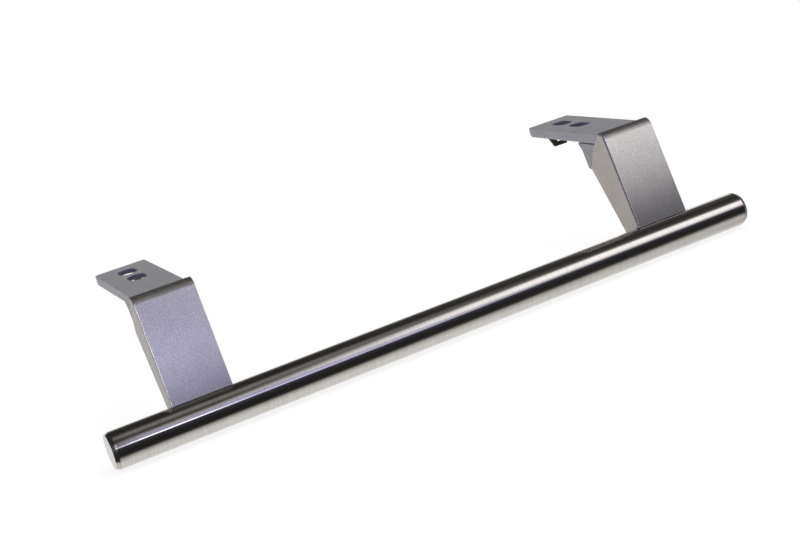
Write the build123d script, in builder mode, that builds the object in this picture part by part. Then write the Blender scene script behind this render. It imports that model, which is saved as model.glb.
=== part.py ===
from build123d import *
from math import asin, atan2, cos, hypot, radians, sin, tan
import os

# Bar handle for a refrigerator door: a ground steel bar on two cranked arms.
# All sizes are in millimetres. The origin is the middle of the four slots, on the
# flat top of the feet that goes against the door. +Z points into the door, +Y runs
# along the bar, and +X points forward, from the slots towards the bar.

# The bar
bar_overhang = 52.5
bar_diameter = 20.0
bar_wall = 1.5
cap_land = 0.3
cap_chamfer_length = 2.1
cap_chamfer_depth = 1.1
cap_plug_length = 12.0
cap_wall = 1.6

# Where the arms stand and how they lean
bracket_spacing = 287.0
stand_off = 64.0
arm_lean = 18.4
bar_setback = 4.0

# The foot with its two slots
foot_inset = 1.8
foot_reach = 89.5
foot_plate = 2.8
foot_flange_drop = 6.2
foot_flange = 2.0
foot_corner_radius = 1.5
foot_toe_radius = 2.5
foot_edge_radius = 0.4
slot_length = 15.5
slot_width = 9.6
slot_pitch = 20.0
slot_end_margin = 9.75
slot_edge_chamfer = 0.3

# The arm shell, open at the back, and the trim plate on its front
arm_width = 33.0
shell_wall = 1.6
shell_front = 2.0
shell_draft = 3.0
shell_top_reach = 6.5
shell_brow_reach = 17.4
shell_brow_drop = 9.8
shell_brow_radius = 50.0
shell_peak_reach = 22.8
shell_peak_drop = 21.9
shell_peak_radius = 1.2
shell_bar_lap = 0.5
trim_thickness = 1.5
trim_lip_reach = 6.2
trim_lip_radius = 1.2
trim_bend_radius = 2.8
trim_outer_bend = 5.0
trim_edge_chamfer = 0.25
pad_thickness = 0.4
pad_top = 5.0
pad_length = 46.0
pad_margin = 2.5

# The inner bracket, cast in one with the foot
cheek_wall = 2.0
cheek_inset = 1.2
web_wall = 2.5
gusset_top_reach = 35.4
gusset_top_drop = 7.5
gusset_knee_reach = 32.2
gusset_knee_drop = 11.2
gusset_end_reach = 28.5
gusset_end_drop = 22.5
gusset_radius = 1.5
seam_height = 0.9
saddle_thickness = 4.5
saddle_rise = 3.0

# The screws that hold the bar, seen from the bar's axis
screw_tilt = 45.0
screw_diameter = 5.0
screw_reach = 16.0
screw_head_diameter = 9.0
screw_head_height = 2.8
screw_socket = 3.0
screw_socket_depth = 1.6
washer_diameter = 9.6
washer_thickness = 1.0
anchor_length = 30.0

# The small screws that hold the shell to the inner bracket
shell_screw_diameter = 3.0
shell_screw_length = 5.0
shell_screw_head = 5.2
shell_screw_head_depth = 1.3
shell_screw_cone = 90.0
shell_screw_socket = 2.0
shell_screw_top = 18.0
shell_screw_pitch = 22.0

# The spring clip under the foot
clip_end_margin = 1.3
clip_thickness = 1.5
clip_drop = 14.5
clip_tip_width = 8.6
clip_top_width = 21.0
clip_eye_width = 3.2
clip_eye_drop = 12.0
clip_leg_width = 4.4
clip_pad_length = 8.0
peg_diameter = 2.4
peg_stake = 0.8

# Clearances
bar_gap = 0.15
cheek_gap = 0.18
slide_gap = 0.1
thread_gap = 0.03

# Sizes that follow from those above
bar_length = bracket_spacing + 2 * bar_overhang
lean = radians(arm_lean)
bar_radius = bar_diameter / 2
bore_radius = bar_radius - bar_wall
foot_width = arm_width - 2 * foot_inset
corner_x = foot_reach - slot_end_margin - (slot_length + slot_pitch) / 2
bar_x = corner_x + stand_off * tan(lean) - bar_setback / cos(lean)
bar_z = -stand_off
free_x = corner_x - foot_reach
shell_face = trim_thickness
web_face = shell_face + shell_front
saddle_top = bar_radius + bar_gap + saddle_thickness
tube_half = bar_length / 2 - cap_land - cap_chamfer_length
far = 2 * (foot_reach + stand_off)


def face_x(depth, z):
    """X of the plane that lies this deep behind the trim's front, at height z."""
    return corner_x - depth / cos(lean) - z * tan(lean)


def behind(reach, drop):
    """The point this far behind the corner and this far below the door face."""
    return (corner_x - reach, -drop)


# The back edge of the shell runs from its widest point along the back of the bar
peak = behind(shell_peak_reach, shell_peak_drop)
peak_to_bar = hypot(bar_x - peak[0], bar_z - peak[1])
back_turn = asin((bar_radius + shell_bar_lap) / peak_to_bar)
back_angle = atan2(bar_z - peak[1], bar_x - peak[0]) - back_turn

# The shell narrows towards its back, and the cheeks just clear it where it is narrowest
draft_rate = tan(radians(shell_draft))
peak_depth = shell_peak_reach * cos(lean) + shell_peak_drop * sin(lean)
cheek_outer = arm_width / 2 - shell_wall - (peak_depth - shell_face) * draft_rate - cheek_gap
cheek_inner = cheek_outer - cheek_wall


def back_x(inset, z):
    """X of the line that lies inside the shell's back edge by inset, at height z."""
    start_x = peak[0] - inset * sin(back_angle)
    start_z = peak[1] + inset * cos(back_angle)
    return start_x + (z - start_z) * cos(back_angle) / sin(back_angle)


# Planes along the arm, on its front and on the line of the bar's screws
arm_section = Plane((corner_x, 0, 0), x_dir=(0, 1, 0), z_dir=(-sin(lean), 0, cos(lean)))
arm_front = Plane((corner_x, 0, 0), x_dir=(0, 1, 0), z_dir=(cos(lean), 0, sin(lean)))
tilt = radians(screw_tilt)
bar_screw_plane = Plane((bar_x, 0, bar_z), x_dir=(0, 1, 0), z_dir=(-sin(tilt), 0, cos(tilt)))
bar_axis = Axis((bar_x, 0, bar_z), (0, 1, 0))
bar_profile_plane = Plane((bar_x, 0, bar_z), x_dir=(0, 1, 0), z_dir=(1, 0, 0))
screw_places = [(-cheek_inner / 2, 0), (cheek_inner / 2, 0)]
shell_screw_places = [(0, -shell_screw_top), (0, -shell_screw_top - shell_screw_pitch)]

# Pegs under the foot's free end carry the spring clip's two pads
peg_x = free_x + clip_end_margin + clip_pad_length / 2
peg_y = (clip_top_width - clip_leg_width) / 2
peg_places = [(peg_x, -peg_y), (peg_x, peg_y)]
clip_x = free_x + clip_end_margin + clip_pad_length + clip_thickness

os.makedirs("parts", exist_ok=True)


def save(part, name):
    part.label = name
    export_step(part, f"parts/{name}.step")


def save_pair(part, name):
    """Write the piece once for each bracket."""
    for side, sign in (("left", -1), ("right", 1)):
        placed = part.moved(Location((0, sign * bracket_spacing / 2, 0)))
        save(placed, f"{name}_{side}")


# Bar: a plain round tube with two screw holes at each arm
with BuildPart() as bar_tube:
    with BuildSketch(Plane.XZ):
        with Locations((bar_x, bar_z)):
            Circle(bar_radius)
            Circle(bore_radius, mode=Mode.SUBTRACT)
    extrude(amount=tube_half, both=True)
    for sign in (-1, 1):
        with BuildSketch(bar_screw_plane):
            with Locations((sign * bracket_spacing / 2, 0)):
                with Locations(*screw_places):
                    Circle(screw_diameter / 2 + slide_gap)
        extrude(amount=bar_diameter, mode=Mode.SUBTRACT)
save(bar_tube.part, "bar_tube")

# End caps: a chamfered disc with a hollow plug that is pressed into the tube
for side, sign in (("left", -1), ("right", 1)):
    with BuildPart() as end_cap:
        plug_radius = bore_radius - thread_gap
        face_at = tube_half + cap_land + cap_chamfer_length
        with BuildSketch(bar_profile_plane):
            with BuildLine():
                Polyline(
                    (sign * (tube_half - cap_plug_length), plug_radius),
                    (sign * tube_half, plug_radius),
                    (sign * tube_half, bar_radius),
                    (sign * (tube_half + cap_land), bar_radius),
                    (sign * face_at, bar_radius - cap_chamfer_depth),
                    (sign * face_at, 0),
                    (sign * tube_half, 0),
                    (sign * tube_half, plug_radius - cap_wall),
                    (sign * (tube_half - cap_plug_length), plug_radius - cap_wall),
                    close=True,
                )
            make_face()
        revolve(axis=bar_axis)
    save(end_cap.part, f"end_cap_{side}")

# Bar anchor: a steel slug inside the tube, tapped for the two bar screws
with BuildPart() as bar_anchor:
    with BuildSketch(Plane.XZ):
        with Locations((bar_x, bar_z)):
            Circle(bore_radius - thread_gap)
    extrude(amount=anchor_length / 2, both=True)
    with BuildSketch(bar_screw_plane):
        with Locations(*screw_places):
            Circle(screw_diameter / 2 + thread_gap)
    extrude(amount=bar_diameter, both=True, mode=Mode.SUBTRACT)
save_pair(bar_anchor.part, "bar_anchor")

# Inner bracket: slotted foot, gusset cheeks, front web and bar saddle in one casting
with BuildPart() as foot_bracket:
    with BuildSketch(Plane.XZ):
        with BuildLine():
            FilletPolyline(
                (face_x(web_face, 0), 0),
                (free_x, 0),
                (free_x, -foot_flange_drop),
                (face_x(web_face, -foot_flange_drop), -foot_flange_drop),
                radius=[0, 0, foot_toe_radius, 0],
                close=True,
            )
        make_face()
    extrude(amount=foot_width / 2, both=True)
    toe_corners = foot_bracket.edges().filter_by(Axis.Z).sort_by(Axis.X)[:2]
    fillet(toe_corners, foot_corner_radius)
    top_face = foot_bracket.faces().sort_by(Axis.Z)[-1]
    fillet(top_face.edges().sort_by(Axis.X)[:-1], foot_edge_radius)
    pan_front = face_x(web_face + web_wall, -foot_plate)
    with BuildSketch(Plane.XY.offset(-foot_plate)):
        with Locations(((pan_front + free_x - foot_width) / 2, 0)):
            Rectangle(pan_front - free_x + foot_width, foot_width - 2 * foot_flange)
    extrude(amount=-foot_flange_drop, mode=Mode.SUBTRACT)

    saddle_z = bar_z + saddle_rise
    gusset_end = behind(gusset_end_reach, gusset_end_drop)
    tuck_z = gusset_end[1] - cheek_inset
    for start_y in (cheek_inner, -cheek_outer):
        with BuildSketch(Plane.XZ.offset(-start_y)):
            with BuildLine():
                FilletPolyline(
                    (face_x(web_face, -foot_plate / 2), -foot_plate / 2),
                    (face_x(web_face, saddle_z), saddle_z),
                    (back_x(cheek_inset, saddle_z), saddle_z),
                    (back_x(cheek_inset, tuck_z), tuck_z),
                    gusset_end,
                    behind(gusset_knee_reach, gusset_knee_drop),
                    behind(gusset_top_reach, gusset_top_drop),
                    behind(gusset_top_reach, foot_plate / 2),
                    radius=[0, 0, 0, 0, gusset_radius, gusset_radius, gusset_radius, 0],
                    close=True,
                )
            make_face()
        extrude(amount=-cheek_wall)

    with BuildSketch(Plane.XZ):
        with BuildLine():
            Polyline(
                (face_x(web_face, -foot_plate / 2), -foot_plate / 2),
                (face_x(web_face, saddle_z), saddle_z),
                (face_x(web_face + web_wall, saddle_z), saddle_z),
                (face_x(web_face + web_wall, -foot_plate / 2), -foot_plate / 2),
                close=True,
            )
        make_face()
    extrude(amount=cheek_inner, both=True)

    with BuildSketch(Plane.XZ):
        with BuildLine():
            Polyline(
                (face_x(web_face, bar_z / 2), bar_z / 2),
                (face_x(web_face, saddle_z), saddle_z),
                (back_x(cheek_inset, saddle_z), saddle_z),
                (back_x(cheek_inset, bar_z / 2), bar_z / 2),
                close=True,
            )
        make_face()
        with Locations((bar_x, bar_z)):
            Rectangle(
                far,
                saddle_top,
                rotation=screw_tilt,
                align=(Align.CENTER, Align.MIN),
                mode=Mode.INTERSECT,
            )
    extrude(amount=cheek_inner, both=True)

    seam_x = corner_x - gusset_top_reach
    with BuildSketch(Plane.XY.offset(-foot_flange_drop)):
        with Locations((seam_x, -cheek_outer), (seam_x, cheek_outer)):
            Rectangle(2 * gusset_top_reach, cheek_wall)
    extrude(amount=-seam_height, mode=Mode.SUBTRACT)

    with BuildSketch(Plane.XZ):
        with Locations((bar_x, bar_z)):
            Circle(bar_radius + bar_gap)
    extrude(amount=arm_width, both=True, mode=Mode.SUBTRACT)
    with BuildSketch(bar_screw_plane):
        with Locations(*screw_places):
            Circle(screw_diameter / 2 + slide_gap)
    extrude(amount=saddle_top + washer_thickness, mode=Mode.SUBTRACT)
    with BuildSketch(arm_front.offset(-web_face)):
        with Locations(*shell_screw_places):
            Circle(shell_screw_diameter / 2 + thread_gap)
    extrude(amount=-web_wall, mode=Mode.SUBTRACT)
    with BuildSketch(Plane.XY):
        with GridLocations(slot_pitch, 0, 2, 1):
            SlotOverall(slot_length, slot_width)
    extrude(amount=-foot_plate, mode=Mode.SUBTRACT)
    slot_rims = foot_bracket.faces().sort_by(Axis.Z)[-1].inner_wires().edges()
    chamfer(slot_rims, slot_edge_chamfer)
    with BuildSketch(Plane.XY.offset(-foot_plate)):
        with Locations(*peg_places):
            Circle(peg_diameter / 2)
    extrude(amount=-clip_thickness - peg_stake)
save_pair(foot_bracket.part, "foot_bracket")

# Arm shell: a drafted U-shaped cover over the inner bracket, scribed to the bar
with BuildPart() as arm_shell:
    with BuildSketch(Plane.XZ):
        with BuildLine():
            FilletPolyline(
                (face_x(shell_face, bar_z), bar_z),
                (face_x(shell_face, 0), 0),
                behind(shell_top_reach, 0),
                behind(shell_brow_reach, shell_brow_drop),
                peak,
                (back_x(0, bar_z), bar_z),
                radius=[0, trim_bend_radius, 0, shell_brow_radius, shell_peak_radius, 0],
                close=True,
            )
        make_face()
    extrude(amount=arm_width / 2, both=True)
    with BuildSketch(arm_section):
        with BuildLine():
            Polyline(
                (-arm_width / 2, shell_face),
                (arm_width / 2, shell_face),
                (arm_width / 2 - foot_reach * draft_rate, shell_face + foot_reach),
                (foot_reach * draft_rate - arm_width / 2, shell_face + foot_reach),
                close=True,
            )
        make_face()
    extrude(amount=far, both=True, mode=Mode.INTERSECT)
    with BuildSketch(arm_section):
        inner_half = arm_width / 2 - shell_wall - shell_front * draft_rate
        with BuildLine():
            Polyline(
                (-inner_half, web_face),
                (inner_half, web_face),
                (inner_half - foot_reach * draft_rate, web_face + foot_reach),
                (foot_reach * draft_rate - inner_half, web_face + foot_reach),
                close=True,
            )
        make_face()
    extrude(amount=far, both=True, mode=Mode.SUBTRACT)
    with BuildSketch(Plane.XZ):
        flange_pocket_z = -foot_flange_drop - slide_gap
        with BuildLine():
            Polyline(
                (face_x(web_face, slide_gap), slide_gap),
                (free_x, slide_gap),
                (free_x, flange_pocket_z),
                (face_x(web_face, flange_pocket_z), flange_pocket_z),
                close=True,
            )
        make_face()
    extrude(amount=foot_width / 2 + slide_gap, both=True, mode=Mode.SUBTRACT)
    with BuildSketch(arm_front.offset(-shell_face)):
        with Locations((0, -pad_top - pad_length / 2)):
            RectangleRounded(arm_width - 2 * pad_margin, pad_length, pad_margin)
    extrude(amount=-pad_thickness, mode=Mode.SUBTRACT)
    with BuildSketch(Plane.XZ):
        with Locations((bar_x, bar_z)):
            Circle(bar_radius + bar_gap)
    extrude(amount=arm_width, both=True, mode=Mode.SUBTRACT)
    with Locations(arm_front.offset(-shell_face - pad_thickness)):
        with Locations(*shell_screw_places):
            CounterSinkHole(
                radius=shell_screw_diameter / 2 + slide_gap,
                counter_sink_radius=shell_screw_head / 2 + slide_gap,
                counter_sink_angle=shell_screw_cone,
                depth=shell_front + slide_gap,
            )
save_pair(arm_shell.part, "arm_shell")

# Trim plate: thin satin plate with a rounded lip over the top of the arm
with BuildPart() as front_trim:
    with BuildSketch(Plane.XZ):
        with BuildLine():
            FilletPolyline(
                (face_x(0, bar_z), bar_z),
                (face_x(0, trim_thickness), trim_thickness),
                (corner_x - trim_lip_reach, trim_thickness),
                (corner_x - trim_lip_reach, 0),
                (face_x(shell_face, 0), 0),
                (face_x(shell_face, bar_z), bar_z),
                radius=[0, trim_outer_bend, trim_lip_radius, 0, trim_bend_radius, 0],
                close=True,
            )
        make_face()
    extrude(amount=arm_width / 2, both=True)
    front_face = front_trim.faces().filter_by(arm_front).sort_by(SortBy.AREA)[-1]
    bend_face = front_trim.faces().filter_by(GeomType.CYLINDER).sort_by(SortBy.AREA)[-1]
    lip_face = front_trim.faces().sort_by(Axis.Z)[-1]
    side_edges = front_trim.faces().filter_by(Axis.Y).edges()
    outer_edges = ShapeList([front_face, bend_face, lip_face]).edges()
    chamfer([edge for edge in side_edges if edge in outer_edges], trim_edge_chamfer)
    with BuildSketch(Plane.XZ):
        with Locations((bar_x, bar_z)):
            Circle(bar_radius + bar_gap)
    extrude(amount=arm_width, both=True, mode=Mode.SUBTRACT)
save_pair(front_trim.part, "front_trim")

# Trim pad: the thin adhesive pad that holds the trim, in a recess of the shell
with BuildPart() as trim_pad:
    with BuildSketch(arm_front.offset(-shell_face)):
        with Locations((0, -pad_top - pad_length / 2)):
            pad_width = arm_width - 2 * (pad_margin + slide_gap)
            RectangleRounded(pad_width, pad_length - 2 * slide_gap, pad_margin)
    extrude(amount=-pad_thickness)
save_pair(trim_pad.part, "trim_pad")

# Shell screws: countersunk, from the shell's front into the inner bracket
with BuildPart() as shell_screws:
    seat_plane = arm_front.offset(-shell_face - pad_thickness)
    with BuildSketch(seat_plane):
        with Locations(*shell_screw_places):
            Circle(shell_screw_head / 2)
    extrude(amount=-shell_screw_head_depth, taper=shell_screw_cone / 2)
    with BuildSketch(seat_plane):
        with Locations(*shell_screw_places):
            Circle(shell_screw_diameter / 2)
    extrude(amount=-shell_screw_length)
    with BuildSketch(seat_plane):
        with Locations(*shell_screw_places):
            RegularPolygon(shell_screw_socket / 2, 6, major_radius=False)
    extrude(amount=-shell_screw_head_depth, mode=Mode.SUBTRACT)
save_pair(shell_screws.part, "shell_screws")

# Bar screws and their washers, on the saddle inside the arm
with BuildPart() as bar_washers:
    with BuildSketch(bar_screw_plane.offset(saddle_top)):
        with Locations(*screw_places):
            Circle(washer_diameter / 2)
            Circle(screw_diameter / 2 + slide_gap, mode=Mode.SUBTRACT)
    extrude(amount=washer_thickness)
save_pair(bar_washers.part, "bar_washers")

with BuildPart() as bar_screws:
    head_seat = saddle_top + washer_thickness
    with BuildSketch(bar_screw_plane.offset(head_seat)):
        with Locations(*screw_places):
            Circle(screw_head_diameter / 2)
    extrude(amount=screw_head_height)
    screw_axis = Axis((bar_x, 0, bar_z), bar_screw_plane.z_dir)
    head_rims = bar_screws.edges().filter_by(GeomType.CIRCLE).group_by(screw_axis)[-1]
    fillet(head_rims, screw_head_height / 2)
    with BuildSketch(bar_screw_plane.offset(head_seat)):
        with Locations(*screw_places):
            Circle(screw_diameter / 2)
    extrude(amount=-screw_reach)
    with BuildSketch(bar_screw_plane.offset(head_seat + screw_head_height)):
        with Locations(*screw_places):
            RegularPolygon(screw_socket / 2, 6, major_radius=False)
    extrude(amount=-screw_socket_depth, mode=Mode.SUBTRACT)
save_pair(bar_screws.part, "bar_screws")

# Spring clip: two splayed legs that meet below the foot, with pads staked on its pegs
with BuildPart() as spring_clip:
    top_half = clip_top_width / 2
    tip_half = clip_tip_width / 2
    eye_half = clip_eye_width / 2
    with BuildSketch(Plane.YZ.offset(clip_x)):
        with BuildLine():
            Polyline(
                (-top_half, -foot_plate),
                (-tip_half, -clip_drop),
                (tip_half, -clip_drop),
                (top_half, -foot_plate),
                (top_half - clip_leg_width, -foot_plate),
                (eye_half, -clip_eye_drop),
                (-eye_half, -clip_eye_drop),
                (clip_leg_width - top_half, -foot_plate),
                close=True,
            )
        make_face()
    extrude(amount=-clip_thickness)
    with BuildSketch(Plane.XY.offset(-foot_plate)):
        with Locations(*peg_places):
            with Locations((clip_thickness / 2, 0)):
                Rectangle(clip_pad_length + clip_thickness, clip_leg_width)
        with Locations(*peg_places):
            Circle(peg_diameter / 2 + slide_gap, mode=Mode.SUBTRACT)
    extrude(amount=-clip_thickness)
save_pair(spring_clip.part, "spring_clip")
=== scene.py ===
# %% [markdown]
# # A bar handle for a refrigerator door
#
# The handle is a ground steel bar on two cranked arms. Each arm is a cast bracket with a
# slotted foot, a painted cover and a satin plate on its front. The solids come ready from
# the frame, in metres, and this lesson gives them their surfaces. Where a solid is too
# coarse for a mirror-like finish, or has edges sharper than a real one, a finer piece is
# turned, bent or softened in its place.

import math

import bmesh
import bpy
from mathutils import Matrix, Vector


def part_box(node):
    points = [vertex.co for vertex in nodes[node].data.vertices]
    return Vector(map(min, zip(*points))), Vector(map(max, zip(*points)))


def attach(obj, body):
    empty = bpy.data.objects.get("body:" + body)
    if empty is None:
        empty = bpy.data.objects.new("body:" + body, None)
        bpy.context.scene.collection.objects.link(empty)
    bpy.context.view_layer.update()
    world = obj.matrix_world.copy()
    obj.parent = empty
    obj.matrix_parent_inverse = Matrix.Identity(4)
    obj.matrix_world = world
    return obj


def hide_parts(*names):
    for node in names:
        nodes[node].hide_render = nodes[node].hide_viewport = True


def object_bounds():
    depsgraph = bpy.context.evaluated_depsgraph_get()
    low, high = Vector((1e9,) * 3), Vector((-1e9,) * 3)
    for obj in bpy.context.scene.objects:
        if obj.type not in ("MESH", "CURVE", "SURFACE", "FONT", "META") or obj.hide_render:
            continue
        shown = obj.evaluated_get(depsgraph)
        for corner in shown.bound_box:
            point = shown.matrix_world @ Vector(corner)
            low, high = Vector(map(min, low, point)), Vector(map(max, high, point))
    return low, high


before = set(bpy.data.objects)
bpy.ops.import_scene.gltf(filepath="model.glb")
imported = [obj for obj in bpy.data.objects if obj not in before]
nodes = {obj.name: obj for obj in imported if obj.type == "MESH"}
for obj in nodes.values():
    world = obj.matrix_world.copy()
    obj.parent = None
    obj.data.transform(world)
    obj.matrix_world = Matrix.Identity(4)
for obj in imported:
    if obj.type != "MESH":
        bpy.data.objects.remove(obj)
cad_low, cad_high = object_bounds()
scene = bpy.context.scene
MM = 0.001
print("solids:", len(nodes), "size in mm:", [round(v / MM, 1) for v in cad_high - cad_low])

# %% [markdown]
# The camera stands where the photographer stood: in front of the handle, a little to the
# left and above it. The lens is long, so the two feet stay nearly parallel. A camera can
# be aimed with a constraint, but three plain angles are easier to keep and to repeat.

# %% Camera
camera_place = Vector((760.5, -297.8, 165.1)) * MM
camera_turn = [math.radians(a) for a in (74.97, 13.92, 64.27)]

camera = bpy.data.objects.new("camera", bpy.data.cameras.new("camera"))
scene.collection.objects.link(camera)
camera.location = camera_place
camera.rotation_euler = camera_turn
camera.data.sensor_width = 36.0
camera.data.lens = 64.48
camera.data.clip_start = 0.01
scene.camera = camera
scene.view_settings.view_transform = "Standard"
print("camera:", round(camera_place.length, 3), "m from the middle of the slots")

# %% [markdown]
# Node trees read badly as long lists of links. A small class that wraps a socket lets a
# pattern be written as a sum or a product instead, and each sign adds its own Math node.

# %% A way to write patterns as sums


class Wire:
    """The output of a node, ready for arithmetic."""

    def __init__(self, tree, socket):
        self.tree = tree
        self.socket = socket

    def math(self, operation, first, second):
        return self.tree.node("ShaderNodeMath", {"operation": operation}, {0: first, 1: second})

    def __add__(self, other):
        return self.math("ADD", self, other)

    def __radd__(self, other):
        return self.math("ADD", other, self)

    def __sub__(self, other):
        return self.math("SUBTRACT", self, other)

    def __rsub__(self, other):
        return self.math("SUBTRACT", other, self)

    def __mul__(self, other):
        return self.math("MULTIPLY", self, other)

    def __truediv__(self, other):
        return self.math("DIVIDE", self, other)

    def __pow__(self, other):
        return self.math("POWER", self, other)

    def size(self):
        return self.math("ABSOLUTE", self, 0.0)

    def larger(self, other):
        return self.math("MAXIMUM", self, other)

    def smaller(self, other):
        return self.math("MINIMUM", self, other)


# %% [markdown]
# One method makes any other node. It sets the node up before it feeds the sockets,
# because a setting can change which sockets a node has. The methods after it stand for
# what comes back often: a blend of two colours, the place on a piece, a soft step, and a
# test for the kind of ray.

# %% A way to fill a node tree
class Tree:
    """A node tree that is filled from Python expressions."""

    def __init__(self, owner):
        owner.use_nodes = True
        self.links = owner.node_tree.links
        self.nodes = owner.node_tree.nodes
        self.nodes.clear()

    def node(self, kind, settings=None, inputs=None, output=0):
        """Add a node, set it up, feed its sockets and return one of its outputs."""
        made = self.nodes.new(kind)
        for key, value in (settings or {}).items():
            if key == "stops":
                self.fill_ramp(made.color_ramp, value)
            else:
                setattr(made, key, value)
        for key, value in (inputs or {}).items():
            if isinstance(value, Wire):
                self.links.new(value.socket, made.inputs[key])
            else:
                made.inputs[key].default_value = value
        return Wire(self, made.outputs[output]) if len(made.outputs) else None

    def fill_ramp(self, ramp, stops):
        ramp.elements.remove(ramp.elements[1])
        ramp.elements[0].position, ramp.elements[0].color = stops[0]
        for position, color in stops[1:]:
            ramp.elements.new(position).color = color

    def blend(self, share, first, second):
        """A colour from first, where share is 0, to second, where it is 1."""
        settings = {"data_type": "RGBA"}
        return self.node("ShaderNodeMix", settings, {0: share, 6: first, 7: second}, output=2)

    def place(self, kind="Object"):
        """The point on the piece in metres, or a direction in the world, as three numbers."""
        point = self.node("ShaderNodeTexCoord", output=kind)
        split = self.node("ShaderNodeSeparateXYZ", {}, {0: point})
        return [Wire(self, socket) for socket in split.socket.node.outputs]

    def ramp_up(self, value, start, end):
        """A soft step from 0 at start to 1 at end."""
        settings = {"interpolation_type": "SMOOTHSTEP"}
        return self.node("ShaderNodeMapRange", settings, {0: value, 1: start, 2: end})

    def ramp_down(self, value, start, end):
        """A soft step from 1 at start to 0 at end."""
        return 1.0 - self.ramp_up(value, start, end)

    def seen_through(self, *rays):
        """1 for the named kinds of ray and 0 for the others."""
        flags = [self.node("ShaderNodeLightPath", output=f"Is {ray} Ray") for ray in rays]
        shown = flags[0]
        for flag in flags[1:]:
            shown = shown.larger(flag)
        return shown


def gray(level):
    """A colour with one level in all three channels."""
    return (level, level, level, 1.0)


# %% [markdown]
# ## Light
#
# Polished metal shows what stands around it, so its look is made by the room. This room
# is white below and behind, dark in front and overhead, with a wide soft light between
# them that fades to the left. The world is white for the rays that look at it, and softer
# for the rays that only light the piece. Towards the far right a reflection finds the end
# of the white room, so what the steel sees there grows dim, and at last dark.

# %% The white room
FILL_LEVEL = 0.75

world = bpy.data.worlds.new("white_room")
scene.world = world
sky = Tree(world)
seen = sky.seen_through("Camera", "Glossy", "Transmission")
strength = FILL_LEVEL + seen * (1.0 - FILL_LEVEL)
sideways = sky.place("Generated")[1]
falling = [
    (0.40, 0.96), (0.52, 0.90), (0.60, 0.82), (0.70, 0.64), (0.80, 0.50), (0.90, 0.45),
    (1.0, 0.12),
]
stops = [(at, gray(level)) for at, level in falling]
dimmed = sky.node("ShaderNodeValToRGB", {"stops": stops}, {0: sideways})
color = sky.blend(sky.seen_through("Glossy"), gray(1.0), dimmed)
glow = sky.node("ShaderNodeBackground", {}, {0: color, 1: strength})
sky.node("ShaderNodeOutputWorld", {}, {0: glow})
print("world:", world.name, "of", len(sky.nodes), "nodes")

# %% [markdown]
# The floor is a plain sheet just below the bar. Most of what the camera sees of it is its
# own white, and the rest is ordinary white paint that takes the soft shadow. Away from
# the handle the white takes over, so the floor has no horizon. The metal looks past it,
# at the white room.

# %% The floor
FLOOR_DROP = 0.6 * MM
FLOOR_HALF = 6.0
FLOOR_GLOW = 0.85
FLOOR_NEAR = 0.25
FLOOR_FAR = 0.70


def link_mesh(name, shape, material):
    """Turn a bmesh into an object at the origin."""
    mesh = bpy.data.meshes.new(name)
    shape.to_mesh(mesh)
    shape.free()
    made = bpy.data.objects.new(name, mesh)
    scene.collection.objects.link(made)
    mesh.materials.append(material)
    return made


def floor_paint():
    material = bpy.data.materials.new("pale_floor")
    tree = Tree(material)
    lit = tree.node("ShaderNodeBsdfDiffuse", {}, {0: gray(0.9)})
    glow = tree.node("ShaderNodeEmission", {}, {0: gray(1.0)})
    x, y, z = tree.place()
    away = tree.ramp_up((x * x + y * y) ** 0.5, FLOOR_NEAR, FLOOR_FAR)
    share = tree.seen_through("Camera") * (FLOOR_GLOW + away * (1.0 - FLOOR_GLOW))
    mixed = tree.node("ShaderNodeMixShader", {}, {0: share, 1: lit, 2: glow})
    tree.node("ShaderNodeOutputMaterial", {}, {0: mixed})
    return material


sheet = bmesh.new()
bmesh.ops.create_grid(sheet, x_segments=1, y_segments=1, size=FLOOR_HALF)
bmesh.ops.translate(sheet, verts=sheet.verts, vec=(0, 0, cad_low.z - FLOOR_DROP))
floor = link_mesh("floor", sheet, floor_paint())
floor.visible_glossy = False
print("floor:", round((cad_low.z - FLOOR_DROP) / MM, 1), "mm from the top of the feet")

# %% [markdown]
# Two soft lamps do the plain lighting. They are left out of reflections, because the
# steel already reflects the painted vault of the next cells.

# %% The lamps
bar_low, bar_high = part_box("bar_tube")
bar_axis = (bar_low + bar_high) / 2
bar_radius = (bar_high.x - bar_low.x) / 2


def lamp(name, place, size, watts, color):
    """A square soft light that looks at the middle of the bar."""
    light = bpy.data.lights.new(name, "AREA")
    light.size = size
    light.energy = watts
    light.color = color
    made = bpy.data.objects.new(name, light)
    scene.collection.objects.link(made)
    made.location = place
    made.rotation_mode = "QUATERNION"
    made.rotation_quaternion = (bar_axis - made.location).to_track_quat("-Z", "Y")
    made.visible_glossy = False
    print(name, round((bar_axis - made.location).length, 2), "m from the bar")


lamp("overhead_light", place=(0.4, 0.35, 1.1), size=0.9, watts=12.0, color=(1.0, 0.985, 0.965))
lamp("left_light", place=(0.3, -1.2, 0.6), size=0.8, watts=3.4, color=(0.97, 0.97, 1.0))

# %% [markdown]
# The bands that the steel shows are painted on a long vault around the bar that only
# reflections see: white table below, a dark front, a wide soft light and dark overhead.
# A sky with the same bands would do for the round bar, but a flat plate needs walls that
# are near. A band is given by its angle around the bar, a level and a tint.

# %% Bands by angle
VAULT_FROM = -72.0
VAULT_TO = 160.0

WARM = (1.02, 1.0, 0.97)
PLAIN = (0.99, 0.98, 1.01)
BLUISH = (0.96, 0.95, 1.07)
NAVY = (0.88, 0.88, 1.25)
LAVENDER = (0.86, 0.86, 1.27)
VIOLET = (0.84, 0.84, 1.30)
LILAC = (0.87, 0.87, 1.24)


def bands(tree, angle, steps):
    """A ramp over the vault's angle in degrees, from angles, levels and tints."""
    span = VAULT_TO - VAULT_FROM
    stops = [
        ((at - VAULT_FROM) / span, (*(level * part for part in tint), 1.0))
        for at, level, tint in steps
    ]
    return tree.node("ShaderNodeValToRGB", {"stops": stops}, {0: (angle - VAULT_FROM) / span})


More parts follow.
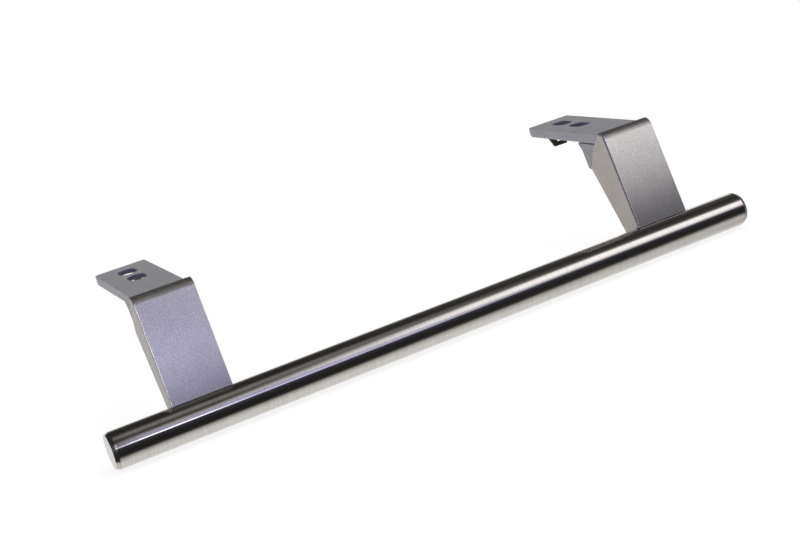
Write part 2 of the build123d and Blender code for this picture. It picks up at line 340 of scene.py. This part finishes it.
# %% [markdown]
# Two sets of bands fade into each other along the bar. The right set has a wide white
# light and the left set a dimmer one with a lavender edge. The fade comes later above and
# below the middle of the light, so its band on the bar narrows to the left. A low white
# flash adds a crisp line at the left end. Further left, past a dark gap, stands a bright
# panel. Only the rounded edges of the plates find it, and it draws their thin bright
# lines. A painted picture could carry all this too, but numbers are easier to correct.

# %% Paint of the vault
FADE_LEFT = -0.22
FADE_RIGHT = 0.28
FADE_MIDDLE = 44.0
FADE_TURN = 25.0
FADE_SLANT = 0.0036
FLASH_FROM = -0.17
FLASH_TO = -0.09
FLASH_LOW = 21.0
FLASH_HIGH = 26.0
FLASH_TURN = 1.0
FLASH_LEVEL = 2.7
DARK_EDGE = -0.26
DARK_START = -0.20
STRIP_FROM = -0.46
STRIP_TO = -0.27
STRIP_SOFT = 0.03
STRIP_LOW = 12.0
STRIP_HIGH = 46.0
STRIP_TURN = 4.0
STRIP_LEVEL = 8.0
GAP_LEVEL = 0.03


def vault_paint():
    material = bpy.data.materials.new("vault_paint")
    tree = Tree(material)
    x, y, z = tree.place()
    turn = x.math("ARCTAN2", z - bar_axis.z, x - bar_axis.x)
    angle = turn * math.degrees(1.0)
    right = bands(tree, angle, [
        (-72, 0.82, WARM), (-62, 0.76, WARM), (-55, 0.69, WARM), (-49, 0.60, WARM),
        (-44, 0.47, WARM), (-39, 0.30, WARM), (-34, 0.13, WARM), (-29, 0.05, WARM),
        (-14, 0.024, WARM), (5, 0.032, BLUISH), (15, 0.055, NAVY), (20.5, 0.11, NAVY),
        (22.5, 0.17, BLUISH), (25, 0.50, BLUISH), (32, 1.05, PLAIN), (38, 1.50, PLAIN),
        (44, 1.65, PLAIN), (57, 1.65, PLAIN), (63, 1.20, WARM), (68, 0.45, WARM),
        (73, 0.20, WARM), (80, 0.07, WARM), (104, 0.035, WARM), (140, 0.08, WARM),
        (152, 0.12, WARM), (160, 0.34, WARM),
    ])
    left = bands(tree, angle, [
        (-72, 0.97, WARM), (-62, 0.88, WARM), (-55, 0.78, WARM), (-49, 0.66, WARM),
        (-44, 0.52, WARM), (-39, 0.32, WARM), (-34, 0.12, WARM), (-29, 0.03, WARM),
        (-14, 0.020, WARM), (0, 0.028, PLAIN), (10, 0.045, NAVY), (18, 0.09, NAVY),
        (20, 0.15, LAVENDER), (21.2, 1.30, LAVENDER), (25.4, 1.30, LAVENDER),
        (27.4, 0.62, VIOLET), (36, 0.61, LILAC), (45, 0.48, PLAIN), (54, 0.15, WARM),
        (62, 0.06, WARM), (70, 0.17, WARM), (81, 0.29, WARM), (91, 0.17, WARM),
        (98, 0.05, WARM), (120, 0.025, WARM), (138, 0.05, WARM), (152, 0.12, WARM),
        (160, 0.34, WARM),
    ])
    late = (angle - FADE_MIDDLE).size().smaller(FADE_TURN) * FADE_SLANT
    lit = tree.blend(tree.ramp_up(y - late, FADE_LEFT, FADE_RIGHT), left, right)
    flash = tree.ramp_down(y, FLASH_FROM, FLASH_TO)
    flash = flash * tree.ramp_up(angle, FLASH_LOW, FLASH_LOW + FLASH_TURN)
    flash = flash * tree.ramp_down(angle, FLASH_HIGH - FLASH_TURN, FLASH_HIGH)
    lit = tree.blend(flash, lit, gray(FLASH_LEVEL))
    dark = tree.ramp_down(y, DARK_EDGE, DARK_START)
    wide = tree.ramp_up(y, STRIP_FROM, STRIP_FROM + STRIP_SOFT)
    wide = wide * tree.ramp_down(y, STRIP_TO - STRIP_SOFT, STRIP_TO)
    tall = tree.ramp_up(angle, STRIP_LOW, STRIP_LOW + STRIP_TURN)
    tall = tall * tree.ramp_down(angle, STRIP_HIGH - STRIP_TURN, STRIP_HIGH)
    strip = tuple(STRIP_LEVEL * part for part in BLUISH)
    end = tree.blend(wide * tall, gray(GAP_LEVEL), (*strip, 1.0))
    glow = tree.node("ShaderNodeEmission", {}, {0: tree.blend(dark, lit, end)})
    tree.node("ShaderNodeOutputMaterial", {}, {0: glow})
    return material


# %% [markdown]
# The vault itself is one straight edge along the bar, spun around the bar's axis into a
# shell. A cylinder with faces taken out would do, but the spin starts and ends exactly at
# the first and last band. Only reflections see it, so it lights nothing else.

# %% Spin the vault
VAULT_RADIUS = 0.35
VAULT_LEFT = -4.0
VAULT_RIGHT = 2.6
VAULT_STEPS = 60

arch = bmesh.new()
start = math.radians(VAULT_FROM)
start_x = bar_axis.x + VAULT_RADIUS * math.cos(start)
start_z = bar_axis.z + VAULT_RADIUS * math.sin(start)
ends = [arch.verts.new((start_x, y, start_z)) for y in (VAULT_LEFT, VAULT_RIGHT)]
bmesh.ops.spin(
    arch,
    geom=[*ends, arch.edges.new(ends)],
    cent=bar_axis,
    axis=(0, -1, 0),
    angle=math.radians(VAULT_TO - VAULT_FROM),
    steps=VAULT_STEPS,
)
vault = link_mesh("vault", arch, vault_paint())
for ray in ("camera", "diffuse", "transmission", "shadow", "volume_scatter"):
    setattr(vault, f"visible_{ray}", False)
print("vault:", len(vault.data.polygons), "faces,", VAULT_TO - VAULT_FROM, "degrees")

# %% [markdown]
# ## Finishes
#
# Every finish starts from the point on the piece, in metres, so a grain has its true size
# in millimetres and nothing has to be unwrapped. A finish is a principled shader whose
# colour, roughness and bump are fed by patterns.

# %% The start of every finish
LEAN = math.radians(18.4)
PLATE = 1.5 * MM
PLATE_OUT = 4.0 * MM
ARM_MIDDLE = 143.5 * MM
front_at = bar_axis.x + bar_axis.z * math.tan(LEAN) + PLATE_OUT / math.cos(LEAN)


class Finish(Tree):
    """A material, with the patterns that its surface needs."""

    def __init__(self, name):
        self.material = bpy.data.materials.new(name)
        super().__init__(self.material)
        self.x, self.y, self.z = self.place()

    def noise(self, size_x, size_y, size_z, detail=2.0):
        """Soft grains from 0 to 1, of this size in millimetres along each axis."""
        parts = {0: self.x / (size_x * MM), 1: self.y / (size_y * MM), 2: self.z / (size_z * MM)}
        point = self.node("ShaderNodeCombineXYZ", {}, parts)
        inputs = {"Vector": point, "Scale": 1.0, "Detail": detail}
        return self.node("ShaderNodeTexNoise", {}, inputs)

    def from_middle(self):
        """How far the point lies to either side of the middle of its arm."""
        return (self.y.size() - ARM_MIDDLE).size()

    def depth(self):
        """How far the point lies behind the leaning front of the arms."""
        return (front_at - self.x - self.z * math.tan(LEAN)) * math.cos(LEAN)

    def lines(self, along, size, detail=2.0):
        """Soft lines from 0 to 1, of this width in millimetres, across a length in metres."""
        settings = {"noise_dimensions": "1D"}
        inputs = {"W": along / (size * MM), "Scale": 1.0, "Detail": detail}
        return self.node("ShaderNodeTexNoise", settings, inputs)

    def bump(self, height, microns, under=None):
        """A normal from a height of 0 to 1 that stands for this many microns."""
        inputs = {"Strength": 1.0, "Distance": microns * MM * MM, "Height": height}
        if under:
            inputs["Normal"] = under
        return self.node("ShaderNodeBump", {}, inputs)

    def shade(self, dark, light, share):
        """A colour between two, by a pattern."""
        return self.blend(share, (*dark, 1.0), (*light, 1.0))

    def done(self, **sockets):
        """Finish the material with a principled shader."""
        inputs = {name.replace("_", " "): value for name, value in sockets.items()}
        shader = self.node("ShaderNodeBsdfPrincipled", {}, inputs)
        self.node("ShaderNodeOutputMaterial", {}, {0: shader})
        print(self.material.name, "of", len(self.nodes), "nodes")
        return self.material


# %% [markdown]
# The bar is stainless tube, ground while it turned, so very fine rings run around it.
# They spread each reflection a little along the bar and hardly at all around it, which is
# why the bands stay crisp. An anisotropic shader could say this with one number, but its
# direction would come from the object's bounds. Real rings in the bump always lie right.

# %% Ground steel
def ground_steel():
    steel = Finish("ground_steel")
    fine = steel.noise(9.0, 0.16, 9.0, detail=3.0)
    broad = steel.noise(40.0, 1.1, 40.0, detail=3.0)
    smudge = steel.noise(14.0, 22.0, 14.0, detail=3.0)
    shade = steel.ramp_up(fine * 0.55 + broad * 0.25 + smudge * 0.20, 0.28, 0.72)
    color = steel.shade((0.50, 0.476, 0.452), (0.645, 0.616, 0.588), shade)
    normal = steel.bump(fine, microns=1.7)
    normal = steel.bump(broad, microns=0.8, under=normal)
    return steel.done(
        Base_Color=color,
        Metallic=1.0,
        Roughness=0.05 + fine * 0.03 + smudge * 0.03,
        Normal=normal,
    )


ground = ground_steel()

# %% [markdown]
# The end caps are turned. A facing tool leaves rings around the middle of the face, so
# here the lines run over the distance from the bar's axis, and along the bar on the rim.
# The rim was ground together with the bar, so it is as smooth as the bar.

# %% Turned steel
RIM_BLEND = 0.05 * MM


def turned_steel():
    steel = Finish("turned_steel")
    from_axis = ((steel.x - bar_axis.x) ** 2.0 + (steel.z - bar_axis.z) ** 2.0) ** 0.5
    rings = steel.lines(from_axis + steel.y, 0.22, detail=3.0)
    rim = steel.ramp_up(from_axis, bar_radius - 2.0 * RIM_BLEND, bar_radius - RIM_BLEND)
    cloud = steel.noise(3.0, 3.0, 3.0)
    color = steel.shade((0.43, 0.410, 0.388), (0.54, 0.515, 0.490), rings * 0.6 + cloud * 0.4)
    return steel.done(
        Base_Color=color,
        Metallic=1.0,
        Roughness=0.14 + rings * 0.08 - rim * 0.08,
        Normal=steel.bump(rings, microns=1.6),
    )


turned = turned_steel()

# %% [markdown]
# The front plates are blasted aluminium under a clear satin coat. Small facets glint one
# by one, and the whole plate shines softly. Grains of half a millimetre vary the colour
# and tilt the surface, and a slow cloud keeps the plate from looking printed. Over the
# bend the coat is duller, and painted shade darkens its colour there. Painted shade also
# darkens the plate a little towards the bar. Along the sides of the plate a dark painted
# shadow draws a thin line between plate and cover.

# %% Satin plate
# Where the painted shadow line on the sides of the plate starts and ends.
SHADE_LINE_FROM = 16.36 * MM
SHADE_LINE_TO = 16.46 * MM
BLAST_FADE = 15.8 * MM
BLAST_END = 16.0 * MM
# The painted shade over the bend and towards the bar, and how strong each is.
BEND_FROM = -2.3 * MM
BEND_TO = -1.5 * MM
BEND_SHADE_SHARE = 0.40
LOW_SHADE_TOP = -22.0 * MM
LOW_SHADE_BOTTOM = -54.0 * MM
LOW_SHADE_SHARE = 0.30


def satin_plate():
    satin = Finish("satin_plate")
    grain = satin.noise(0.40, 0.40, 0.40, detail=1.0)
    speck = satin.noise(0.60, 0.60, 0.60, detail=2.0)
    cloud = satin.noise(11.0, 11.0, 11.0)
    glint = satin.ramp_up(grain * 0.40 + speck * 0.50 + cloud * 0.10, 0.35, 0.67)
    color = satin.shade((0.462, 0.445, 0.428), (0.652, 0.631, 0.611), glint)
    # Painted shade: the bend is darkened, and the same mask makes it duller.
    bend = satin.ramp_up(satin.z, BEND_FROM, BEND_TO)
    color = satin.blend(bend * BEND_SHADE_SHARE, color, (0.24, 0.23, 0.21, 1.0))
    # Painted shade: the plate darkens towards the bar.
    foot = satin.ramp_down(satin.z, LOW_SHADE_BOTTOM, LOW_SHADE_TOP)
    color = satin.blend(foot * LOW_SHADE_SHARE, color, gray(0.05))
    # A painted shadow line: the sides of the plate are dark and less metallic.
    edge = satin.ramp_up(satin.from_middle(), SHADE_LINE_FROM, SHADE_LINE_TO)
    blasted = satin.ramp_down(satin.from_middle(), BLAST_FADE, BLAST_END)
    return satin.done(
        Base_Color=satin.blend(edge, color, (0.085, 0.085, 0.12, 1.0)),
        Metallic=1.0 - edge * 0.5,
        Roughness=0.19 + grain * 0.06 + bend * 0.26,
        Normal=satin.bump(grain * blasted, microns=8.0),
    )


satin = satin_plate()

# %% [markdown]
# The covers of the arms are painted a warm metallic grey. The flakes lie in the paint,
# so the finish is half metal and half paint, with a faint orange peel. Right behind the
# front plate a thin dark band of painted shadow marks the gap between plate and cover.

# %% Warm metallic paint
# The width of the painted shadow behind the plate.
SHADOW_GAP = 0.25 * MM


def cover_paint():
    paint = Finish("cover_paint")
    flake = paint.noise(0.55, 0.55, 0.55, detail=2.0)
    cloud = paint.noise(16.0, 16.0, 16.0)
    share = paint.ramp_up(flake * 0.8 + cloud * 0.2, 0.34, 0.66)
    color = paint.shade((0.295, 0.270, 0.250), (0.425, 0.392, 0.363), share)
    # A painted shadow: a thin dark band right behind the plate.
    gap_shadow = paint.ramp_down(paint.depth(), PLATE + SHADOW_GAP, PLATE + 1.5 * SHADOW_GAP)
    return paint.done(
        Base_Color=paint.blend(gap_shadow, color, gray(0.03)),
        Metallic=0.55,
        Roughness=0.42 + flake * 0.10,
        Normal=paint.bump(paint.noise(0.8, 0.8, 0.8), microns=5.0),
    )


cover = cover_paint()

# %% [markdown]
# The foot and the bracket are one casting with a cool grey coat, duller than the cover.
# Cast skin is uneven at several sizes: a fine tooth, specks and slow waves. The walls of
# the slots get painted shade, dark and a little blue.

# %% Cool casting
# Where the painted shade on the walls of the slots lies.
SLOT_BELOW = -0.25 * MM
SLOT_ABOVE = -2.75 * MM
SLOT_REACH = 19.0 * MM
SLOT_HALF = 6.0 * MM


def cast_coat():
    coat = Finish("cast_coat")
    tooth = coat.noise(0.45, 0.45, 0.45, detail=2.0)
    speck = coat.noise(0.8, 0.8, 0.8, detail=2.0)
    wave = coat.noise(7.0, 7.0, 7.0)
    share = coat.ramp_up(tooth * 0.4 + speck * 0.5 + wave * 0.1, 0.38, 0.62)
    color = coat.shade((0.195, 0.190, 0.206), (0.335, 0.327, 0.350), share)
    # Painted shade on the walls of the slots, dark and a little blue.
    below = coat.ramp_down(coat.z, 2.0 * SLOT_BELOW, SLOT_BELOW)
    above = coat.ramp_up(coat.z, SLOT_ABOVE, SLOT_ABOVE - SLOT_BELOW)
    near = coat.ramp_down(coat.x.size(), SLOT_REACH, SLOT_REACH + MM)
    inside = coat.ramp_down(coat.from_middle(), SLOT_HALF, SLOT_HALF + MM)
    slot_shade = below * above * near * inside
    normal = coat.bump(tooth, microns=5.0)
    return coat.done(
        Base_Color=coat.blend(slot_shade, color, (0.075, 0.070, 0.115, 1.0)),
        Metallic=0.45,
        Roughness=0.46 + tooth * 0.10,
        Normal=coat.bump(wave, microns=25.0, under=normal),
    )


coat = cast_coat()

# %% [markdown]
# The small parts are plain hardware: blackened spring steel for the clips, zinc plate for
# the screws, the washers and the slug in the tube, and a matt foam tape for the pads.

# %% Hardware finishes
def spring_black():
    black = Finish("spring_black")
    patch = black.noise(1.6, 1.6, 1.6, detail=4.0)
    color = black.shade((0.022, 0.020, 0.019), (0.062, 0.055, 0.050), patch)
    return black.done(
        Base_Color=color,
        Metallic=0.7,
        Roughness=0.38 + patch * 0.2,
        Normal=black.bump(patch, microns=12.0),
    )


def zinc_plate():
    zinc = Finish("zinc_plate")
    patch = zinc.noise(2.2, 2.2, 2.2, detail=3.0)
    color = zinc.shade((0.50, 0.52, 0.54), (0.66, 0.66, 0.64), patch)
    return zinc.done(
        Base_Color=color,
        Metallic=1.0,
        Roughness=0.28 + patch * 0.12,
        Normal=zinc.bump(zinc.noise(0.3, 0.3, 0.3), microns=3.0),
    )


def foam_tape():
    foam = Finish("foam_tape")
    cell = foam.noise(0.25, 0.25, 0.25, detail=2.0)
    color = foam.shade((0.02, 0.02, 0.02), (0.06, 0.06, 0.06), cell)
    return foam.done(
        Base_Color=color,
        Metallic=0.0,
        Roughness=0.80 + cell * 0.15,
        Normal=foam.bump(cell, microns=40.0),
    )


black = spring_black()
zinc = zinc_plate()
foam = foam_tape()

# %% [markdown]
# ## The bar
#
# Each finer piece stands for the solid of its node. It is shaded smoothly, and only
# edges that turn by more than 35 degrees stay sharp. An Edge Split modifier would show
# the same, but it cuts the mesh apart.

# %% Dress a piece
SMOOTH_ANGLE = math.radians(35)


def dress(piece, *replaced, slot):
    """Shade smoothly up to the sharp edges, and let the piece stand for its node."""
    mesh = piece.data
    for face in mesh.polygons:
        face.use_smooth = True
    mesh.set_sharp_from_angle(angle=SMOOTH_ANGLE)
    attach(piece, "root")
    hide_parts(*replaced)
    print(piece.name, len(mesh.polygons), "faces")


# %% [markdown]
# The tube is a wall that was spun into a ring: a small rectangle, with its outer corners
# broken, goes once around the axis. A cylinder with a Solidify modifier would do too, but
# the spin gives the wall, the bore and the broken edge in one step, with steps as fine as
# the reflections need.

# %% Spin the tube
SPIN_STEPS = 160
BAR_WALL = 1.5 * MM
BROKEN_EDGE = 0.07 * MM
BROKEN_STEPS = 3


def outline(shape, points):
    """Draw a closed outline with its face, and return its corners."""
    corners = [shape.verts.new(point) for point in points]
    shape.faces.new(corners)
    return corners


def spun(name, points, broken, material):
    """Spin a section, given as distance from the axis and place along it, into a piece."""
    shape = bmesh.new()
    section = [(bar_axis.x + out, along, bar_axis.z) for out, along in points]
    corners = outline(shape, section)
    bmesh.ops.bevel(
        shape, geom=[corners[i] for i in broken], offset=BROKEN_EDGE, segments=BROKEN_STEPS,
        profile=0.5, affect="VERTICES", material=-1,
    )
    rim = list(shape.edges)
    bmesh.ops.delete(shape, geom=list(shape.faces), context="FACES_ONLY")
    bmesh.ops.spin(
        shape, geom=[*shape.verts, *rim], cent=bar_axis, axis=(0, 1, 0),
        angle=math.tau, steps=SPIN_STEPS, use_merge=True,
    )
    bmesh.ops.remove_doubles(shape, verts=shape.verts, dist=MM / 1000)
    bmesh.ops.recalc_face_normals(shape, faces=shape.faces)
    return link_mesh(name, shape, material)


half = bar_high.y
bore = bar_radius - BAR_WALL
bar = spun(
    "ground_bar",
    [(bore, -half), (bar_radius, -half), (bar_radius, half), (bore, half)],
    (1, 2),
    ground,
)
dress(bar, "bar_tube", slot="brushed_bar")

# %% [markdown]
# Each cap closes the tube with a flat face and a shallow chamfer, and has a hollow plug
# that goes into the bore. It is spun in the same way, with every outer corner broken. Its
# large faces set the normals, so the flat face mirrors flatly right up to its edge.

# %% Spin the caps
CAP_LAND = 0.3 * MM
CAP_CHAMFER_DEPTH = 1.1 * MM
CAP_WALL = 1.6 * MM
PLUG_GAP = 0.03 * MM


def flatten_shading(piece):
    """Let the large faces set the normals, so that rounded edges shade cleanly."""
    weigh = piece.modifiers.new("weighted_normals", "WEIGHTED_NORMAL")
    weigh.keep_sharp = True
    weigh.weight = 100


for side, sign in (("left", -1), ("right", 1)):
    cap_low, cap_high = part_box(f"end_cap_{side}")
    face_at = max(abs(cap_low.y), abs(cap_high.y))
    plug_at = min(abs(cap_low.y), abs(cap_high.y))
    plug = bore - PLUG_GAP
    section = [
        (0.0, half), (plug - CAP_WALL, half), (plug - CAP_WALL, plug_at), (plug, plug_at),
        (plug, half), (bar_radius, half), (bar_radius, half + CAP_LAND),
        (bar_radius - CAP_CHAMFER_DEPTH, face_at), (0.0, face_at),
    ]
    cap = spun(
        f"turned_cap_{side}",
        [(out, sign * along) for out, along in section],
        (5, 6, 7),
        turned,
    )
    dress(cap, f"end_cap_{side}", slot="brushed_bar")
    flatten_shading(cap)

# %% [markdown]
# ## The front plates
#
# A front plate is a strip of sheet, bent over the top of the arm into a short lip, with
# its foot scribed to the bar. It leans, so its front and its back are two slanted lines
# that end where they meet the bar. The meeting point could be read off a drawing, but
# worked out from the bar it stays right when the bar changes.

# %% Lines of a plate
BAR_GAP = 0.15 * MM

plate_low, plate_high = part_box("front_trim_left")
lip_x = plate_low.x
top_z = plate_high.z


def front_x(depth, z):
    """X on the plane that lies this deep behind the front of the plate."""
    return front_at - depth / math.cos(LEAN) - z * math.tan(LEAN)


def scribed(depth):
    """Where a line of the plate, this deep behind its front, meets the bar's clearance."""
    down = Vector((math.sin(LEAN), 0, -math.cos(LEAN)))
    start = Vector((front_x(depth, 0), 0, 0))
    to_bar = Vector((bar_axis.x, 0, bar_axis.z)) - start
    along = to_bar.dot(down)
    across = (to_bar - down * along).length
    return start + down * (along - math.sqrt((bar_radius + BAR_GAP) ** 2 - across**2))


print("plates end", [round(-scribed(d).z / MM, 2) for d in (0.0, PLATE)], "mm below the feet")

# %% [markdown]
# Sheet is rounded in two ways. A corner of its outline gets a bender's radius, and bevel
# wants that as the distance from the corner to the start of the arc. The edges of the
# pushed-out body are broken all alike, apart from the small steps of the bends. A Bevel
# modifier could do the second, but not give each corner a radius of its own.

# %% Round corners and edges
LEAST_TURN = math.radians(25)


def round_corner(shape, corner, radius, segments):
    """Round a corner of an outline to a radius."""
    arms = [edge.other_vert(corner).co - corner.co for edge in corner.link_edges]
    setback = radius / math.tan(arms[0].angle(arms[1]) / 2)
    bmesh.ops.bevel(
        shape, geom=[corner], offset=setback, segments=segments, profile=0.5,
        affect="VERTICES", material=-1,
    )


def round_edges(shape, width, segments):
    """Round every edge that turns by more than a bend's own steps."""
    sharp = [
        edge for edge in shape.edges
        if edge.is_manifold and edge.calc_face_angle() > LEAST_TURN
    ]
    bmesh.ops.bevel(
        shape, geom=sharp, offset=width, segments=segments, profile=0.5,
        affect="EDGES", clamp_overlap=True, material=-1,
    )


# %% [markdown]
# The strip's edge is drawn first, its three corners are rounded, and the face is pushed
# out to the plate's width. The edges are rounded last, because that is where the real
# plate catches its thin bright line.

# %% Bend the plates
INNER_BEND = 2.8 * MM
OUTER_BEND = 5.0 * MM
LIP_ROUND = 1.2 * MM
EDGE_ROUND = 0.6 * MM

for side in ("left", "right"):
    plate_low, plate_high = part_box(f"front_trim_{side}")
    shape = bmesh.new()
    corners = outline(shape, [
        scribed(0.0),
        (front_x(0.0, top_z), 0, top_z),
        (lip_x, 0, top_z),
        (lip_x, 0, 0),
        (front_x(PLATE, 0), 0, 0),
        scribed(PLATE),
    ])
    outer_bend, lip_corner, inner_bend = corners[1], corners[2], corners[4]
    round_corner(shape, outer_bend, OUTER_BEND, segments=14)
    round_corner(shape, lip_corner, LIP_ROUND, segments=8)
    round_corner(shape, inner_bend, INNER_BEND, segments=10)
    bmesh.ops.translate(shape, verts=shape.verts, vec=(0, plate_low.y, 0))
    pushed = bmesh.ops.extrude_face_region(shape, geom=list(shape.faces), use_keep_orig=True)
    moved = [item for item in pushed["geom"] if isinstance(item, bmesh.types.BMVert)]
    bmesh.ops.translate(shape, verts=moved, vec=(0, plate_high.y - plate_low.y, 0))
    bmesh.ops.recalc_face_normals(shape, faces=shape.faces)
    round_edges(shape, EDGE_ROUND, segments=3)
    plate = link_mesh(f"bent_plate_{side}", shape, satin)
    dress(plate, f"front_trim_{side}", slot="satin_trim")
    flatten_shading(plate)

# %% [markdown]
# ## The covers
#
# The solids of the covers already have their true form, and only their edges are too
# sharp. A copy is merged, its flat faces are joined again and every edge is rounded a
# little. A Bevel modifier on the solid itself would meet loose triangles and round
# nothing.

# %% Soften the covers
COVER_ROUND = 0.22 * MM

for side in ("left", "right"):
    shape = bmesh.new()
    shape.from_mesh(nodes[f"arm_shell_{side}"].data)
    bmesh.ops.remove_doubles(shape, verts=shape.verts, dist=MM / 1000)
    bmesh.ops.dissolve_limit(
        shape, angle_limit=math.radians(1), verts=shape.verts, edges=shape.edges
    )
    round_edges(shape, COVER_ROUND, segments=2)
    piece = link_mesh(f"arm_cover_{side}", shape, cover)
    dress(piece, f"arm_shell_{side}", slot="shell_casting")
    flatten_shading(piece)

# %% [markdown]
# The castings, the clips and the hidden hardware keep their solids and only change their
# finish. The finish goes into the slot that the solid already has.

# %% Finish the other solids
finishes = {
    "foot_bracket": coat,
    "spring_clip": black,
    "bar_anchor": zinc,
    "bar_screws": zinc,
    "bar_washers": zinc,
    "shell_screws": zinc,
    "trim_pad": foam,
}
for name, material in finishes.items():
    for side in ("left", "right"):
        nodes[f"{name}_{side}"].material_slots[0].material = material
    print(name, "in", material.name)
